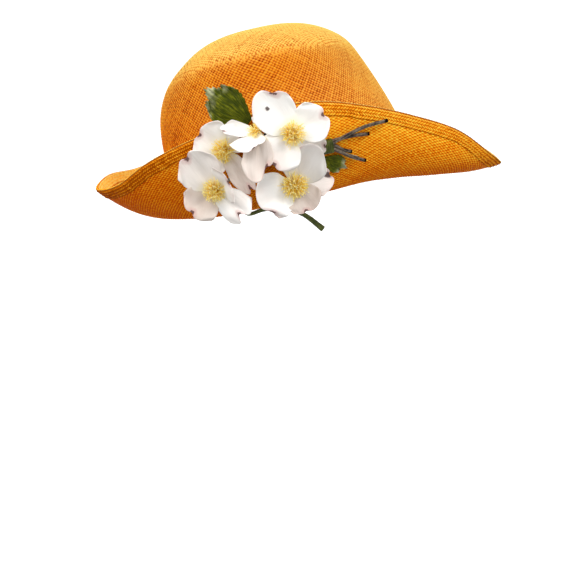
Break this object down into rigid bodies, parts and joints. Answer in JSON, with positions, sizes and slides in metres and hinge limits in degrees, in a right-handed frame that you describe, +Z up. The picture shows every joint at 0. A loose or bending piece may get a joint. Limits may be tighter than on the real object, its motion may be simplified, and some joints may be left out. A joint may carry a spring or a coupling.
{
  "type": "wide-brim straw hat",
  "caption": "Woven straw sun hat with a softly ridged crown, a wide brim swept up on one side, a braided edge and a spray of silk dogwood flowers.",
  "frame": {"origin": "centre of the head opening at the headline, where a head holds the hat", "axes": "+X to the front of the hat, +Y to the wearer's left, +Z up, with the hat tipped back as it is worn"},
  "size_m": [0.3627, 0.3189, 0.1693],
  "materials": {
    "orange_straw": "matt plain-woven straw",
    "edge_braid_straw": "matt plaited straw",
    "white_silk": "matt silk",
    "stamen_yellow": "matt",
    "twig_grey": "matt paper-wrapped wire",
    "leaf_green": "satin silk",
    "stem_green": "matt tape"
  },
  "bodies": {
    "root": {"brim": "orange_straw", "crown": "orange_straw", "edge_braid": "edge_braid_straw", "flower_1": "white_silk", "flower_2": "white_silk", "flower_3": "white_silk", "flower_4": "white_silk", "flower_5": "white_silk", "green_stem": "stem_green", "leaf_large": "leaf_green", "leaf_small": "leaf_green", "stamens_1": "stamen_yellow", "stamens_2": "stamen_yellow", "stamens_3": "stamen_yellow", "stamens_4": "stamen_yellow", "stamens_5": "stamen_yellow", "stem_tie": "stem_green", "twig_1": "twig_grey", "twig_2": "twig_grey", "twig_3": "twig_grey", "twig_4": "twig_grey", "twig_5": "twig_grey"}
  },
  "joints": []
}
